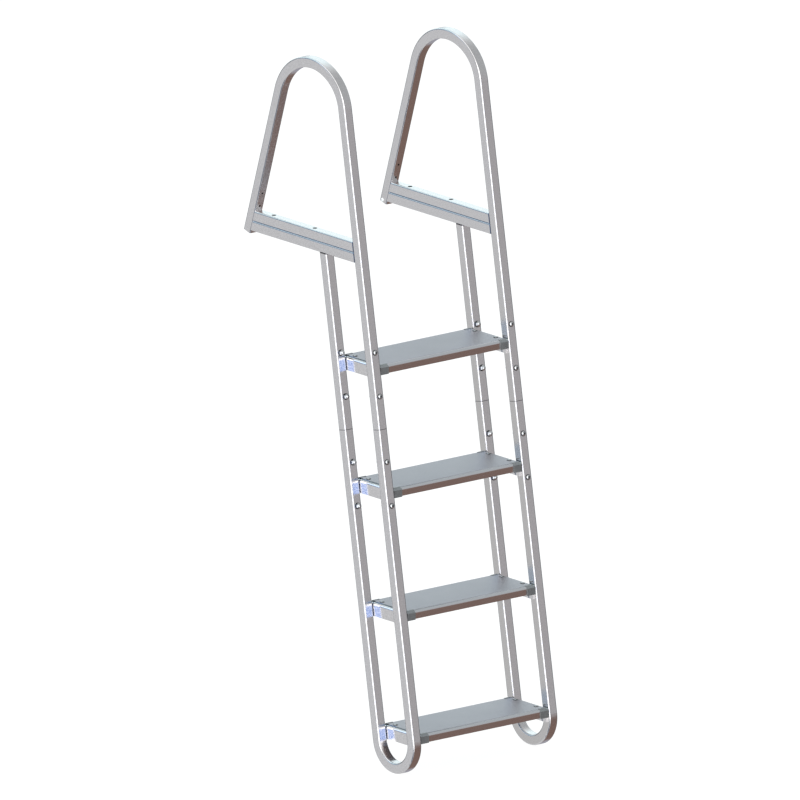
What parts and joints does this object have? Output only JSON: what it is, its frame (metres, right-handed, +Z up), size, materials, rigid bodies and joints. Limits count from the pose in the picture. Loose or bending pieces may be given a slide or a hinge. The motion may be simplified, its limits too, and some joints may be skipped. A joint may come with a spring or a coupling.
{
  "type": "dock ladder",
  "caption": "Dock ladder of bent square aluminium tube: arched handles, flat treads between two side frames, dock bars with bolt holes.",
  "frame": {"origin": "underside of the left lower deck bar, on its centre line, midway between its two bolt holes; the flat face rests on the dock", "axes": "+X across the ladder from the left frame to the right frame as seen from the water, +Y towards the dock, +Z up; the deck surface is Z = 0"},
  "size_m": [0.4441, 0.6378, 1.6949],
  "materials": {
    "frame_tube": "satin",
    "splice_sleeve": "mill",
    "tread_sheet": "textured",
    "side_angle": "satin",
    "corner_cap": "matte"
  },
  "bodies": {
    "root": {"left_handle_rail": "frame_tube", "left_deck_bar_upper": "frame_tube", "left_deck_bar_lower": "frame_tube", "left_rear_rail": "frame_tube", "left_lower_loop": "frame_tube", "left_front_sleeve": "splice_sleeve", "left_rear_sleeve": "splice_sleeve", "right_handle_rail": "frame_tube", "right_deck_bar_upper": "frame_tube", "right_deck_bar_lower": "frame_tube", "right_rear_rail": "frame_tube", "right_lower_loop": "frame_tube", "right_front_sleeve": "splice_sleeve", "right_rear_sleeve": "splice_sleeve", "step_1_tread": "tread_sheet", "step_1_left_angle": "side_angle", "step_1_left_front_cap": "corner_cap", "step_1_left_rear_cap": "corner_cap", "step_1_right_angle": "side_angle", "step_1_right_front_cap": "corner_cap", "step_1_right_rear_cap": "corner_cap", "step_2_tread": "tread_sheet", "step_2_left_angle": "side_angle", "step_2_left_front_cap": "corner_cap", "step_2_left_rear_cap": "corner_cap", "step_2_right_angle": "side_angle", "step_2_right_front_cap": "corner_cap", "step_2_right_rear_cap": "corner_cap", "step_3_tread": "tread_sheet", "step_3_left_angle": "side_angle", "step_3_left_front_cap": "corner_cap", "step_3_left_rear_cap": "corner_cap", "step_3_right_angle": "side_angle", "step_3_right_front_cap": "corner_cap", "step_3_right_rear_cap": "corner_cap", "step_4_tread": "tread_sheet", "step_4_left_angle": "side_angle", "step_4_left_front_cap": "corner_cap", "step_4_left_rear_cap": "corner_cap", "step_4_right_angle": "side_angle", "step_4_right_front_cap": "corner_cap", "step_4_right_rear_cap": "corner_cap"}
  },
  "joints": []
}
